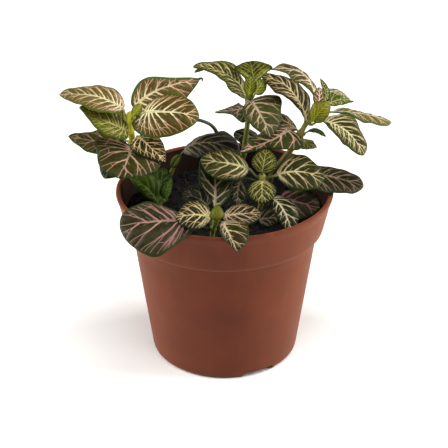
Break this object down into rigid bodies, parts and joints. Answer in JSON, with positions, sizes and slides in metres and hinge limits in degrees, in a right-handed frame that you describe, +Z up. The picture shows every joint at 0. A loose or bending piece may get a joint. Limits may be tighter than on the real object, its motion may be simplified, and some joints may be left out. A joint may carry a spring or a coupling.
{
  "type": "potted nerve plant",
  "caption": "Low leafy house plant with net-veined oval leaves on short upright shoots, growing in soil in a round tapered nursery pot that stands on its flat base.",
  "frame": {"origin": "centre of the pot's flat underside, on the surface that it stands on", "axes": "+Z up along the pot's axis; -Y towards the front of the plant; +X to the right seen from the front"},
  "size_m": [0.1797, 0.1305, 0.161],
  "materials": {
    "pot_plastic": "matte moulded terracotta-coloured plastic",
    "potting_soil": "dark fibrous peat, granular",
    "stem": "satin, finely hairy green to brown skin",
    "leaf_mature": "satin dark green with a pink net of veins",
    "leaf_young": "satin yellow-green with fine pale veins",
    "leaf_green": "smooth plain green",
    "leaf_shaded": "dull dark grey-brown"
  },
  "bodies": {
    "root": {"pot": "pot_plastic", "soil": "potting_soil", "stem_left": "stem", "stem_centre_back": "stem", "stem_right": "stem", "stem_centre_front": "stem", "stem_front": "stem", "stem_back_left": "stem", "stem_arching": "stem", "leaf_a_left_top": "leaf_mature", "leaf_a_right_front": "leaf_mature", "leaf_a_left_mid": "leaf_mature", "leaf_a_back_top": "leaf_mature", "leaf_a_left_low": "leaf_mature", "leaf_a_right_low": "leaf_mature", "leaf_a_front_low": "leaf_mature", "leaf_a_under_low": "leaf_mature", "leaf_a_young": "leaf_young", "leaf_b_left_top": "leaf_mature", "leaf_b_crown_back": "leaf_young", "leaf_b_crown_front": "leaf_young", "leaf_b_crown_right": "leaf_young", "leaf_b_left_low": "leaf_mature", "leaf_b_front_low": "leaf_mature", "leaf_b_curl": "leaf_young", "leaf_c_left": "leaf_mature", "leaf_c_back_top": "leaf_mature", "leaf_c_young_front": "leaf_young", "leaf_c_spike_up": "leaf_young", "leaf_c_spike_right": "leaf_young", "leaf_c_up_pink": "leaf_mature", "leaf_c_right_back": "leaf_mature", "leaf_c_right_long": "leaf_mature", "leaf_c_right_low": "leaf_mature", "leaf_c_mid_back": "leaf_mature", "leaf_c_thin": "leaf_mature", "leaf_c_left_low": "leaf_mature", "leaf_c_right_stub": "leaf_mature", "leaf_d_left": "leaf_mature", "leaf_d_right": "leaf_mature", "leaf_d_back": "leaf_young", "leaf_d_front": "leaf_young", "leaf_d_front_right": "leaf_mature", "leaf_d_front_left": "leaf_mature", "leaf_d_right_far": "leaf_mature", "leaf_d_right_low": "leaf_mature", "leaf_d_soil": "leaf_mature", "leaf_e_left": "leaf_mature", "leaf_e_right": "leaf_mature", "leaf_e_front": "leaf_mature", "leaf_e_back": "leaf_mature", "leaf_e_bud": "leaf_young", "leaf_e_left_big": "leaf_mature", "leaf_e_left_back": "leaf_mature", "leaf_g_left": "leaf_green", "leaf_g_right": "leaf_green", "leaf_g_back": "leaf_green", "leaf_k_arch": "leaf_shaded", "leaf_k_bud": "leaf_young", "leaf_k_small": "leaf_shaded"}
  },
  "joints": []
}
